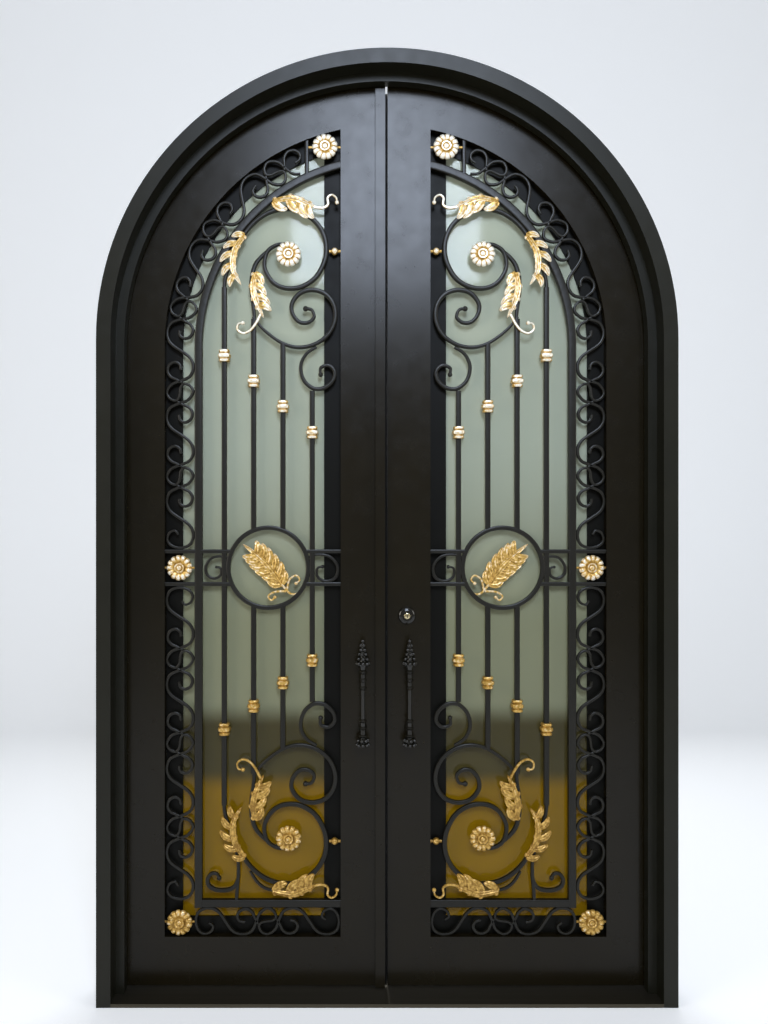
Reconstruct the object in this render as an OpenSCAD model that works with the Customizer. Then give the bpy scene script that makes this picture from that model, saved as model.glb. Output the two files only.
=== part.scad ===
// Arched double door of wrought iron and glass, standing in its own steel frame.
// X runs across the opening, Y into the building, Z up. The origin is under the middle of the sill.

/* [Frame] */
// Overall width of the frame
unit_w = 1850; // [1846:1:1854]
// Overall height, from the floor to the crown of the arch
unit_h = 3050; // [3046:1:3054]
// Depth of the frame, front to back
frame_d = 152; // [150:1:160]
// Width of the frame's front face
face_w = 46; // [44:1:48]
// Depth from the frame's front face to the door stop
reveal_d = 60; // [58:1:61]
// Width of the door stop beyond the frame
stop_w = 29; // [20:1:30]
// Depth of the door stop
stop_d = 36; // [30:1:36]
// Thickness of the sill plate
sill_t = 12; // [8:1:12]

/* [Leaves] */
// Thickness of a leaf
leaf_t = 50; // [48:1:50]
// Gap between a leaf and the frame, and under a leaf
leaf_gap = 6; // [5:0.5:7]
// Width of the stiles and the arched rail
stile_w = 145; // [144:1:146]
// Height of the bottom rail, above the underside of the leaf
bottom_rail_h = 159; // [158:1:160]
// Distance from the middle of the doorway to the right leaf's meeting edge
right_edge = 7; // [7:0.5:8]
// Distance from the middle of the doorway to the left leaf's meeting edge
left_edge = 1; // [0:0.5:1]
// Width of the astragal, the cover strip on the left leaf's meeting edge
astragal_w = 31; // [28:1:32]
// How far the astragal stands out from the leaf
astragal_t = 16; // [8:1:16]

/* [Ironwork] */
// Width of the border bars
border_bar_w = 26; // [22:1:28]
// Clear width of the border between the bar and the leaf
border_w = 97; // [96:1:98]
// Side of the square upright bars
upright_w = 18; // [14:1:20]
// Spacing of the upright bars
upright_step = 97; // [96:1:98]
// Distance from the middle of the doorway to the first upright bar
first_upright = 242; // [240:1:244]
// Width of the thin scroll bars in the border
border_scroll_w = 10; // [8:1:11]
// Width of the scroll bars in the panel
scroll_w = 15; // [12:1:16]
// Height of the middle of the medallions
medallion_z = 1393; // [1391:1:1395]
// Outer radius of the medallion ring
medallion_r = 140; // [138:1:142]
// Width of the ring's bar
medallion_bar = 15; // [12:1:18]
// Distance of the two middle rails above and below the medallion's centre
rail_rise = 54; // [52:1:56]
// Width of the middle rails
rail_w = 13; // [10:1:16]
// Length of one wave of the border scrolls
wave = 278; // [277:1:279]

/* [Glazing] */
// Width of the glass frame
glass_frame_w = 55; // [50:1:58]
// Thickness of the glass
glass_t = 6; // [4:1:8]

/* [Hinges] */
// Radius of a hinge barrel
barrel_r = 10; // [9:0.5:10]
// Radius of a hinge pin
pin_r = 6; // [5:0.5:6]
// Height of one hinge knuckle
knuckle_h = 60; // [40:1:70]

/* [Hidden] */
$fn = 96;
outer_r = unit_w / 2;
spring_z = unit_h - outer_r;
reveal_r = outer_r - face_w;
stop_r = reveal_r - stop_w;
front_y = -frame_d / 2;
back_y = frame_d / 2;
stop_y = front_y + reveal_d;
leaf_r = reveal_r - leaf_gap;
leaf_y = back_y - leaf_t;
leaf_z = sill_t + leaf_gap;
opening_r = leaf_r - stile_w;
opening_z = leaf_z + bottom_rail_h;
lock_u = 148;

grille_y = leaf_y + 5;
border_bar_r = opening_r - border_w - border_bar_w / 2;
border_mid_r = opening_r - border_w / 2;
border_bar_z = opening_z + border_w + border_bar_w / 2 - 4;
border_mid_z = (opening_z + border_bar_z - border_bar_w / 2) / 2;
divider_u = 260;
uprights = [for (i = [0:3]) first_upright + i * upright_step];
medallion_u = (uprights[1] + uprights[2]) / 2;
upper_rail_z = medallion_z + rail_rise;
lower_rail_z = medallion_z - rail_rise;

// The lower scrolls mirror the upper ones about this height.
mirror_z = 1464;
upright_tops = [1978, 2135, 2215, 2320];
collar_tops = [1840, 1926, 2010, 2094];
collar_feet = [1087, 1013, 936, 859];
collar_w = 38;
collar_tier_h = 12;

hinge_x = reveal_r - leaf_gap / 2;
hinge_y = back_y + barrel_r + 1;
hinge_heights = [280, 850, 1420, 1990];
pin_play = 0.1;

glass_frame_y = 56;
glass_frame_t = 16;
glass_y = 62;
glass_lap = 8;

handle_u = 76;
handle_y = leaf_y - 42;
handle_z = 813;
handle_h = 352;
deadbolt_u = 70;
deadbolt_z = 1236;

rosette_r = 39;
// Centres of the five rosettes of a leaf, across and up
rosettes = [[200, 2782], [border_mid_r, medallion_z], [border_mid_r, border_mid_z], [320, 2428],
    [320, 2 * mirror_z - 2428]];
ball_z = 2440;

// Centre lines of the panel's scrolls, from the bar to the eye of the scroll
big_scroll = [[528, 2300], [526, 2352], [508, 2415], [479, 2477], [440, 2530], [390, 2566],
    [334, 2581], [278, 2572], [228, 2534], [202, 2488], [196, 2440], [206, 2396], [234, 2350],
    [280, 2322], [330, 2318], [370, 2336], [396, 2374], [400, 2408], [388, 2442], [358, 2461],
    [328, 2463]];
branch = [[432, 2206], [436, 2250], [442, 2300], [442, 2350], [432, 2392], [412, 2420],
    [388, 2442]];
middle_scroll = [[438, 2222], [402, 2180], [345, 2138], [290, 2122], [235, 2132], [190, 2164],
    [167, 2212], [170, 2260], [196, 2297], [238, 2312], [280, 2303], [308, 2270], [308, 2236],
    [286, 2207], [256, 2204], [236, 2222], [244, 2246], [264, 2250]];
small_scroll = [[228, 2123], [262, 2100], [280, 2060], [270, 2014], [238, 1986], [202, 1988],
    [174, 2012], [168, 2042], [188, 2062], [214, 2054], [214, 2032]];
corner_scroll = [[495, 462], [487, 421], [486, 390], [488, 362], [502, 336], [530, 326],
    [562, 328], [584, 342], [588, 362], [576, 380], [558, 380], [550, 366]];
corner_foot = [[487, 372], [489, 345], [493, 290]];
rail_scroll = [[262, 1424], [230, 1436], [185, 1430], [158, 1398], [164, 1362], [196, 1348],
    [224, 1362], [226, 1390], [208, 1396]];
outer_rail_scroll = [[515, 1424], [542, 1430], [574, 1425], [594, 1398], [590, 1370],
    [567, 1357], [546, 1368], [545, 1390], [559, 1395]];

// Half of one border scroll, along the border from its middle and then across it. It rounds its
// own side of the border, crosses over and curls back inside the loop that it shares with the next.
half_wave = [[0, 0], [19, 27], [40, 41], [65, 43], [88, 31], [102, 2], [113, -26], [138, -43],
    [159, -34], [167, -14], [156, -3], [139, 0]];
// Half of a border scroll that curls up where the border ends
half_end = [[0, 0], [19, 27], [40, 41], [65, 43], [89, 30], [98, 2], [90, -28], [70, -42],
    [48, -34], [41, -16], [54, -6]];
// The small curl that stands on each end of a shared loop
curl = [[170, -8], [181, 12], [190, 30], [208, 41], [229, 35], [239, 17], [231, 1], [214, -3]];
// The cut-off scroll that meets the divider
hook = [[65, 43], [88, 31], [102, 2], [113, -26], [138, -43], [159, -34], [167, -14],
    [156, -3], [139, 0]];

LEFT = -1;
RIGHT = 1;
IRON = [0.16, 0.16, 0.12];
GOLD = [0.85, 0.66, 0.28];
PANE = [0.6, 0.65, 0.6, 0.4];
STEEL = [0.45, 0.44, 0.4];

function lock_edge(side) = side == LEFT ? left_edge : right_edge;

// A smooth curve through points, in equal steps between each pair
function between(a, b, c, d, t) = 0.5 * (2 * b + (c - a) * t + (2 * a - 5 * b + 4 * c - d) * t * t
    + (3 * b - a - 3 * c + d) * t * t * t);
function smooth(path, steps) = let(n = len(path)) concat([for (i = [0:n - 2], k = [0:steps - 1])
    between(path[max(i - 1, 0)], path[i], path[i + 1], path[min(i + 2, n - 1)], k / steps)],
    [path[n - 1]]);
function heading(path, i) = let(d = path[min(i + 1, len(path) - 1)] - path[max(i - 1, 0)])
    d / norm(d);
function edge_line(path, half) = [for (i = [0:len(path) - 1])
    let(d = heading(path, i)) path[i] + half[i] * [-d[1], d[0]]];
function reversed(list) = [for (i = [len(list) - 1:-1:0]) list[i]];

// A flat bar along a path, as wide at its ends and its middle as stated
module bar_shape(path, end_w, mid_w, steps = 3) {
    line = smooth(path, steps);
    last = len(line) - 1;
    half = [for (i = [0:last]) (end_w + (mid_w - end_w) * sin(180 * i / last)) / 2];
    less = [for (h = half) -h];
    polygon(concat(edge_line(line, half), reversed(edge_line(line, less))));
}

// Draws a leaf's pieces as on the right, or mirrored for the left
module on(side) {
    if (side == LEFT) mirror([1, 0, 0]) children();
    else children();
}

// Stands a flat shape up, from y to y + depth
module upright_slab(y, depth) {
    translate([0, y + depth, 0]) rotate([90, 0, 0]) linear_extrude(depth) children();
}

module arch_band(r_in, r_out) {
    difference() {
        translate([0, spring_z]) circle(r_out);
        translate([0, spring_z]) circle(r_in);
        translate([-r_out - 1, spring_z - r_out - 1]) square([2 * r_out + 2, r_out + 1]);
    }
}

module jamb(side) {
    color(IRON) on(side)
        translate([reveal_r, front_y, 0]) cube([face_w, frame_d, spring_z]);
}

module arch_head() {
    color(IRON) upright_slab(front_y, frame_d) arch_band(reveal_r, outer_r);
}

module side_stops() {
    color(IRON) for (side = [LEFT, RIGHT]) on(side)
        translate([stop_r, stop_y, sill_t]) cube([stop_w, stop_d, spring_z - sill_t]);
}

module arch_stop() {
    color(IRON) upright_slab(stop_y, stop_d) arch_band(stop_r, reveal_r);
}

module threshold() {
    color(STEEL) translate([-reveal_r, front_y, 0]) cube([2 * reveal_r, frame_d, sill_t]);
}

// A welded barrel: the jamb carries the lower knuckle and the pin, the leaf the upper knuckle.
module jamb_hinges() {
    color(IRON) for (side = [LEFT, RIGHT], z = hinge_heights) on(side)
        translate([hinge_x, hinge_y, z]) union() {
            cylinder(r = barrel_r, h = knuckle_h);
            cylinder(r = pin_r, h = 2 * knuckle_h - 4);
            translate([0, back_y - hinge_y, 0]) cube([40, barrel_r + 1, knuckle_h]);
        }
}

module leaf_hinges(side) {
    color(IRON) on(side) for (z = hinge_heights)
        translate([hinge_x, hinge_y, z + knuckle_h + 1]) difference() {
            union() {
                cylinder(r = barrel_r, h = knuckle_h);
                translate([-40, back_y - hinge_y, 0]) cube([40, barrel_r + 1, knuckle_h]);
            }
            translate([0, 0, -1]) cylinder(r = pin_r + pin_play, h = knuckle_h + 2);
        }
}

module hinge_stile(side) {
    color(IRON) on(side)
        translate([opening_r, leaf_y, leaf_z]) cube([stile_w, leaf_t, spring_z - leaf_z]);
}

module lock_stile(side) {
    color(IRON) on(side) upright_slab(leaf_y, leaf_t) intersection() {
        translate([0, spring_z]) circle(opening_r);
        translate([lock_edge(side), spring_z]) square([lock_u - lock_edge(side), unit_h]);
    }
    color(IRON) on(side)
        translate([lock_edge(side), leaf_y, leaf_z])
            cube([lock_u - lock_edge(side), leaf_t, spring_z - leaf_z]);
}

module bottom_rail(side) {
    color(IRON) on(side) translate([lock_u, leaf_y, leaf_z])
        cube([opening_r - lock_u, leaf_t, bottom_rail_h]);
}

module arch_rail(side) {
    color(IRON) on(side) upright_slab(leaf_y, leaf_t) intersection() {
        arch_band(opening_r, leaf_r);
        translate([lock_edge(side), spring_z]) square([leaf_r, leaf_r]);
    }
}

module astragal() {
    top_z = spring_z + stop_r - 10;
    color(IRON) translate([-left_edge - 2 - astragal_w, leaf_y - astragal_t, leaf_z])
        cube([astragal_w, astragal_t, top_z - leaf_z]);
}

module glass_outline(inset) {
    r = opening_r - inset;
    u = lock_u + inset;
    intersection() {
        translate([0, spring_z]) circle(r);
        translate([u, spring_z - 1]) square([r, r + 1]);
    }
    translate([u, opening_z + inset]) square([r - u, spring_z - opening_z - inset]);
}

module glass_frame(side) {
    color(IRON) on(side) difference() {
        upright_slab(glass_frame_y, glass_frame_t) glass_outline(0);
        upright_slab(glass_frame_y - 1, glass_frame_t + 2) glass_outline(glass_frame_w);
        upright_slab(glass_y, glass_frame_t) glass_outline(glass_frame_w - glass_lap);
    }
}

module glass(side) {
    color(PANE) on(side)
        upright_slab(glass_y, glass_t) glass_outline(glass_frame_w - glass_lap);
}

module border_bars(side) {
    outer = border_bar_r + border_bar_w / 2;
    inner = border_bar_r - border_bar_w / 2;
    foot = border_bar_z - border_bar_w / 2;
    color(IRON) on(side) upright_slab(grille_y, 20) {
        intersection() {
            arch_band(inner, outer);
            translate([lock_u, spring_z]) square([outer, outer]);
        }
        translate([inner, foot]) square([border_bar_w, spring_z - foot]);
        translate([lock_u, foot]) square([inner - lock_u, border_bar_w]);
        intersection() {
            arch_band(outer, opening_r);
            translate([divider_u - rail_w / 2, spring_z]) square([rail_w, opening_r]);
        }
    }
}

// A point of the side and arch border: up from the springing line along the border, then across it
// towards the middle of the doorway
function on_border(s, v) = s < 0 ? [border_mid_r - v, spring_z + s]
    : let(a = s / border_mid_r * 180 / PI, r = border_mid_r - v)
        [r * cos(a), spring_z + r * sin(a)];
function wave_path(upper, lower) = concat(reversed([for (p = lower) -p]),
    [for (i = [1:len(upper) - 1]) upper[i]]);
function placed_up(path, z) = [for (p = path) on_border(p[0] + z - spring_z, -p[1])];
function placed_across(path, u) = [for (p = path) [u + p[0], border_mid_z + p[1]]];

function turned(path) = [for (p = path) -p];

// The clear band between the border bars and the leaf, without the divider and the middle rails
module border_band() {
    outer = border_bar_r + border_bar_w / 2;
    difference() {
        union() {
            intersection() {
                arch_band(outer, opening_r);
                translate([divider_u + rail_w / 2, spring_z]) square([opening_r, opening_r]);
            }
            translate([outer, opening_z]) square([opening_r - outer, spring_z - opening_z]);
            translate([lock_u, opening_z]) square([outer - lock_u, border_w - 4]);
        }
        for (z = [lower_rail_z, upper_rail_z]) translate([lock_u, z - rail_w / 2])
            square([opening_r - lock_u, rail_w]);
    }
}

module thin_scroll(path) {
    bar_shape(path, 7, border_scroll_w, 2);
}

module border_scrolls(side) {
    whole = wave_path(half_wave, half_wave);
    first = wave_path(half_wave, half_end);
    last = wave_path(half_end, half_wave);
    top = upper_rail_z + rail_w / 2 + 103;
    bottom = lower_rail_z - rail_w / 2 - 103;
    foot = lock_u + 103;
    color(IRON) on(side) upright_slab(grille_y + 2, 12) intersection() {
        border_band();
        union() {
            for (k = [0:4]) {
                thin_scroll(placed_up(k == 0 ? first : whole, top + k * wave));
                thin_scroll(placed_up(curl, top + k * wave));
                thin_scroll(placed_up(turned(curl), top + (k + 1) * wave));
            }
            thin_scroll(placed_up(turned(hook), top + 5 * wave));
            for (k = [0:3]) {
                thin_scroll(placed_up(k == 0 ? last : k == 3 ? first : whole, bottom - k * wave));
                if (k > 0) thin_scroll(placed_up(curl, bottom - k * wave));
                if (k < 3) thin_scroll(placed_up(turned(curl), bottom - k * wave));
            }
            for (k = [0:1]) {
                thin_scroll(placed_across(k == 0 ? first : last, foot + k * wave));
                thin_scroll(placed_across(k == 0 ? curl : turned(curl), foot + k * wave));
            }
        }
    }
}

module medallion_hole() {
    translate([medallion_u, medallion_z]) circle(medallion_r);
}

module upright_outlines() {
    for (i = [0:3]) translate([uprights[i] - upright_w / 2, 2 * mirror_z - upright_tops[i]])
        square([upright_w, 2 * (upright_tops[i] - mirror_z)]);
}

module upright_bars(side) {
    color(IRON) on(side) upright_slab(grille_y, upright_w) difference() {
        upright_outlines();
        medallion_hole();
        for (z = [lower_rail_z, upper_rail_z]) translate([lock_u, z - rail_w / 2])
            square([opening_r - lock_u, rail_w]);
    }
}

module medallion_ring(side) {
    outer = border_bar_r + border_bar_w / 2;
    color(IRON) on(side) upright_slab(grille_y, 16) {
        difference() {
            union() {
                translate([medallion_u, medallion_z]) circle(medallion_r);
                for (z = [lower_rail_z, upper_rail_z]) translate([lock_u, z - rail_w / 2])
                    square([opening_r - lock_u, rail_w]);
            }
            translate([medallion_u, medallion_z]) circle(medallion_r - medallion_bar);
            for (i = [0, 3]) translate([uprights[i] - upright_w / 2, lower_rail_z + rail_w / 2])
                square([upright_w, 2 * rail_rise - rail_w]);
            translate([outer - border_bar_w, lower_rail_z - rail_w])
                square([border_bar_w, 2 * rail_rise + 2 * rail_w]);
        }
        difference() {
            union() {
                bar_shape(rail_scroll, 7, border_scroll_w);
                bar_shape(outer_rail_scroll, 7, border_scroll_w);
            }
            upright_outlines();
        }
    }
}

module scroll_bar(path) {
    bar_shape(path, 10, scroll_w);
}

module panel_scrolls() {
    scroll_bar(big_scroll);
    scroll_bar(branch);
    scroll_bar(middle_scroll);
    scroll_bar(small_scroll);
}

// Where the scrolls meet the uprights and the border bars, the scrolls are cut to fit.
module panel_outline() {
    inner = border_bar_r - border_bar_w / 2;
    difference() {
        union() {
            intersection() {
                translate([0, spring_z]) circle(inner);
                translate([lock_u, spring_z]) square([inner, inner]);
            }
            translate([lock_u, border_bar_z + border_bar_w / 2])
                square([inner - lock_u, spring_z - border_bar_z - border_bar_w / 2]);
        }
        upright_outlines();
    }
}

module upper_scrolls(side) {
    color(IRON) on(side) upright_slab(grille_y, 16) intersection() {
        panel_scrolls();
        panel_outline();
    }
}

module lower_scrolls(side) {
    color(IRON) on(side) upright_slab(grille_y, 16) intersection() {
        union() {
            translate([0, 2 * mirror_z]) mirror([0, 1]) panel_scrolls();
            scroll_bar(corner_scroll);
            scroll_bar(corner_foot);
        }
        panel_outline();
    }
}

// A collar is three stepped bands, slotted over the upright bar.
module collar(u, z) {
    translate([u, grille_y + upright_w / 2, z]) difference() {
        for (i = [-1:1]) translate([0, 0, i * collar_tier_h])
            cube([i == 0 ? collar_w : collar_w - 8, i == 0 ? 34 : 28, collar_tier_h],
                center = true);
        cube([upright_w, upright_w, 5 * collar_tier_h], center = true);
    }
}

module collars(side) {
    color(GOLD) on(side) for (i = [0:3]) {
        collar(uprights[i], collar_tops[i]);
        collar(uprights[i], collar_feet[i]);
    }
}

// The rosettes lie on the front of the bars. Two of them hang on a rod across the border.
module rosette_set(side) {
    outer = border_bar_r + border_bar_w / 2;
    color(GOLD) on(side) {
        for (p = rosettes) translate([p[0], grille_y, p[1]]) rotate([90, 0, 0]) union() {
            cylinder(r = rosette_r, h = 12);
            cylinder(r = 14, h = 20);
        }
        for (z = [medallion_z, border_mid_z]) translate([outer, grille_y, z - 4])
            cube([opening_r - outer, 8, 8]);
        translate([lock_u, grille_y, rosettes[0][1] - 4])
            cube([divider_u - rail_w / 2 - lock_u, 8, 8]);
        for (z = [ball_z, 2 * mirror_z - ball_z]) translate([lock_u, grille_y + 8, z]) union() {
            translate([20, 0, 0]) sphere(12);
            rotate([0, 90, 0]) cylinder(r = 5, h = 38);
        }
    }
}

module leaf_blade(path, width) {
    bar_shape(path, 3, width);
}

// The acanthus leaves are chased plates that lie on the front of the scrolls.
module leaf_set(side) {
    color(GOLD) on(side) upright_slab(grille_y - 10, 10) for (flip = [false, true])
        translate([0, flip ? 2 * mirror_z : 0]) mirror([0, flip ? 1 : 0]) {
            leaf_blade([[444, 2534], [420, 2573], [380, 2600], [330, 2606], [262, 2590],
                [196, 2570]], 34);
            leaf_blade([[548, 2330], [522, 2420], [480, 2480]], 46);
            leaf_blade([[440, 2230], [446, 2310], [440, 2390]], 40);
            leaf_blade([[494, 2150], [472, 2190], [442, 2222]], 26);
        }
}

// A leafed spray that springs from the ring on both sides
module medallion_sprig(side) {
    color(GOLD) on(side) upright_slab(grille_y + 3, 10) translate([medallion_u, medallion_z]) {
        bar_shape([[-70, -72], [-14, 2], [70, 72]], 6, 34);
        for (a = [0, 180]) rotate(a)
            bar_shape([[-117, -37], [-92, -62], [-60, -68], [-20, -14]], 6, 14);
    }
}

module pull_handle(side) {
    color(IRON) on(side) translate([handle_u, handle_y, handle_z]) union() {
        cylinder(r = 26, h = 46);
        translate([0, 0, 46]) cylinder(r = 15, h = 22);
        translate([0, 0, 68]) cylinder(r = 9, h = 186);
        translate([0, 0, 254]) cylinder(r = 15, h = 22);
        translate([0, 0, 276]) cylinder(r1 = 26, r2 = 9, h = handle_h - 276);
        for (z = [57, 265]) translate([0, 0, z]) rotate([-90, 0, 0])
            cylinder(r = 9, h = leaf_y - handle_y);
    }
}

module deadbolt() {
    color(IRON) translate([deadbolt_u, leaf_y, deadbolt_z]) rotate([90, 0, 0]) union() {
        cylinder(r = 29, h = 12);
        cylinder(r = 17, h = 20);
    }
}

jamb(LEFT);  // left_jamb
jamb(RIGHT);  // right_jamb
arch_head();
side_stops();
arch_stop();
threshold();
jamb_hinges();

hinge_stile(LEFT);  // left_hinge_stile
lock_stile(LEFT);  // left_lock_stile
bottom_rail(LEFT);  // left_bottom_rail
arch_rail(LEFT);  // left_arch_rail
astragal();  // left_astragal
leaf_hinges(LEFT);  // left_leaf_hinges
glass_frame(LEFT);  // left_glass_frame
glass(LEFT);  // left_glass
border_bars(LEFT);  // left_border_bars
border_scrolls(LEFT);  // left_border_scrolls
upright_bars(LEFT);  // left_upright_bars
medallion_ring(LEFT);  // left_medallion_ring
upper_scrolls(LEFT);  // left_upper_scrolls
lower_scrolls(LEFT);  // left_lower_scrolls
collars(LEFT);  // left_collars
rosette_set(LEFT);  // left_rosettes
leaf_set(LEFT);  // left_leaves
medallion_sprig(LEFT);  // left_medallion_sprig
pull_handle(LEFT);  // left_pull_handle

hinge_stile(RIGHT);  // right_hinge_stile
lock_stile(RIGHT);  // right_lock_stile
bottom_rail(RIGHT);  // right_bottom_rail
arch_rail(RIGHT);  // right_arch_rail
deadbolt();  // right_deadbolt
leaf_hinges(RIGHT);  // right_leaf_hinges
glass_frame(RIGHT);  // right_glass_frame
glass(RIGHT);  // right_glass
border_bars(RIGHT);  // right_border_bars
border_scrolls(RIGHT);  // right_border_scrolls
upright_bars(RIGHT);  // right_upright_bars
medallion_ring(RIGHT);  // right_medallion_ring
upper_scrolls(RIGHT);  // right_upper_scrolls
lower_scrolls(RIGHT);  // right_lower_scrolls
collars(RIGHT);  // right_collars
rosette_set(RIGHT);  // right_rosettes
leaf_set(RIGHT);  // right_leaves
medallion_sprig(RIGHT);  // right_medallion_sprig
pull_handle(RIGHT);  // right_pull_handle
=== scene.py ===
import math

import bmesh
import bpy
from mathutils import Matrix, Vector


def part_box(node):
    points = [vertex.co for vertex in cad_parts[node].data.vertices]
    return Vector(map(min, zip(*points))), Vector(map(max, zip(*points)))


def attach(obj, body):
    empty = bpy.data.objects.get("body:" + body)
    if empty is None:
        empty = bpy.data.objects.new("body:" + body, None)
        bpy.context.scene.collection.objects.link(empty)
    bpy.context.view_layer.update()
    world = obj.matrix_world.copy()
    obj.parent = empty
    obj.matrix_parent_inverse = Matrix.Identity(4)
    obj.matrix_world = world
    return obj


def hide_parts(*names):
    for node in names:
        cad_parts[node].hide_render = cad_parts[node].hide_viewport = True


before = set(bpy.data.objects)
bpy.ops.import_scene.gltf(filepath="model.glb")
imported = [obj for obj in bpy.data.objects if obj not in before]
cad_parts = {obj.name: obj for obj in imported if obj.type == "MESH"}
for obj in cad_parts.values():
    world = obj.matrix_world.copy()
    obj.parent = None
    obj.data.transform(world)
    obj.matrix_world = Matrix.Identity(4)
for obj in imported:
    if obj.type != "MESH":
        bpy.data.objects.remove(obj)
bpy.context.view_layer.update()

# The view. The door stands on a plain pale floor before a pale backdrop. The viewer stands a little
# to the left of the middle at eye height and looks straight ahead.
EYE = (-0.1435, -2.776, 1.521)
camera = bpy.data.objects.new("camera", bpy.data.cameras.new("camera"))
camera.location = EYE
camera.rotation_euler = (math.radians(90), 0, 0)
camera.data.sensor_fit = "VERTICAL"
camera.data.sensor_height = 24
camera.data.lens = 19.93
camera.data.shift_x = 0.041
camera.data.shift_y = 0.0166
bpy.context.collection.objects.link(camera)
bpy.context.scene.camera = camera
bpy.context.scene.view_settings.view_transform = "Standard"


def linear(code):
    """An sRGB hex colour as linear light, with full alpha."""
    parts = [int(code[i:i + 2], 16) / 255 for i in (1, 3, 5)]
    return [c / 12.92 if c <= 0.04045 else ((c + 0.055) / 1.055) ** 2.4 for c in parts] + [1.0]


def add(tree, kind, inputs=None, **settings):
    """Adds a node. Each input takes a value or another node's output."""
    node = tree.nodes.new(kind)
    for key, value in settings.items():
        setattr(node, key, value)
    for key, value in (inputs or {}).items():
        if isinstance(value, bpy.types.NodeSocket):
            tree.links.new(value, node.inputs[key])
        else:
            node.inputs[key].default_value = value
    return node


def new_material(name, shader_settings):
    """A material, its tree, its shader, and the object's own coordinates."""
    material = bpy.data.materials.new(name)
    material.use_nodes = True
    tree = material.node_tree
    shader = tree.nodes["Principled BSDF"]
    for key, value in shader_settings.items():
        shader.inputs[key].default_value = value
    place = add(tree, "ShaderNodeTexCoord").outputs["Object"]
    return material, tree, shader, place


# Studio paper: matt and pale, without pattern. It gives the door a quiet ground and keeps its shadow.
paper, _, _, _ = new_material("studio_paper", {"Base Color": linear("#eff1f3"), "Roughness": 0.9})
# It also shines a little of its own to the eye and in mirrors and glass, so that it looks white.
nodes = paper.node_tree
rays = add(nodes, "ShaderNodeLightPath").outputs
direct = add(nodes, "ShaderNodeMath", {0: rays["Is Camera Ray"], 1: rays["Is Glossy Ray"]},
             operation="MAXIMUM")
through = add(nodes, "ShaderNodeMath", {0: direct.outputs[0], 1: rays["Is Transmission Ray"]},
              operation="MAXIMUM")
glow = add(nodes, "ShaderNodeMath", {0: through.outputs[0], 1: 0.23}, operation="MULTIPLY")
nodes.links.new(glow.outputs[0], nodes.nodes["Principled BSDF"].inputs["Emission Strength"])
nodes.nodes["Principled BSDF"].inputs["Emission Color"].default_value = linear("#f6f8fa")
BACK_Y = 5.0
BEND_R = 1.5
profile = [(-9.0, 0.0)]
for i in range(13):
    turn = math.radians(90 * i / 12)
    profile.append((BACK_Y - BEND_R + BEND_R * math.sin(turn), BEND_R - BEND_R * math.cos(turn)))
profile.append((BACK_Y, 9.0))
sweep_mesh = bpy.data.meshes.new("studio_sweep")
sweep_mesh.from_pydata([(x, y, z) for y, z in profile for x in (-11.0, 11.0)], [],
                       [(2 * i, 2 * i + 1, 2 * i + 3, 2 * i + 2) for i in range(len(profile) - 1)])
sweep_mesh.shade_smooth()
sweep_mesh.materials.append(paper)
studio_sweep = bpy.data.objects.new("studio_sweep", sweep_mesh)
bpy.context.collection.objects.link(studio_sweep)


def panel_lamp(name, place, turn, size, power, colour):
    """A soft rectangular lamp that the camera doesn't see."""
    lamp = bpy.data.lights.new(name, "AREA")
    lamp.shape = "RECTANGLE"
    lamp.size, lamp.size_y = size
    lamp.energy = power
    lamp.color = linear(colour)[:3]
    holder = bpy.data.objects.new(name, lamp)
    holder.location = place
    holder.rotation_euler = [math.radians(a) for a in turn]
    holder.visible_camera = False
    holder.visible_transmission = False
    bpy.context.collection.objects.link(holder)


# The key lamp is a high, cool panel in front, which the meeting stiles mirror at their tops. Softer
# lamps stand to the left, to the right and behind.
panel_lamp("sky_panel", (0.26, -5.0, 4.95), (90, 0, 0), (1.75, 2.3), 310, "#d6e3f8")
panel_lamp("left_fill", (-4.4, -3.0, 2.6), (90, 0, -58), (2.2, 2.8), 95, "#fff6ea")
panel_lamp("right_fill", (4.6, -2.6, 3.0), (90, 0, 60), (2.0, 2.6), 60, "#fffaf2")
panel_lamp("back_fill", (0.6, 3.6, 3.2), (-90, 0, 0), (4.0, 2.0), 110, "#ffffff")

world = bpy.data.worlds.new("studio_air")
world.use_nodes = True
bpy.context.scene.world = world
world.node_tree.nodes["Background"].inputs["Color"].default_value = linear("#f3f3f1")
world.node_tree.nodes["Background"].inputs["Strength"].default_value = 0.34


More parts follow.
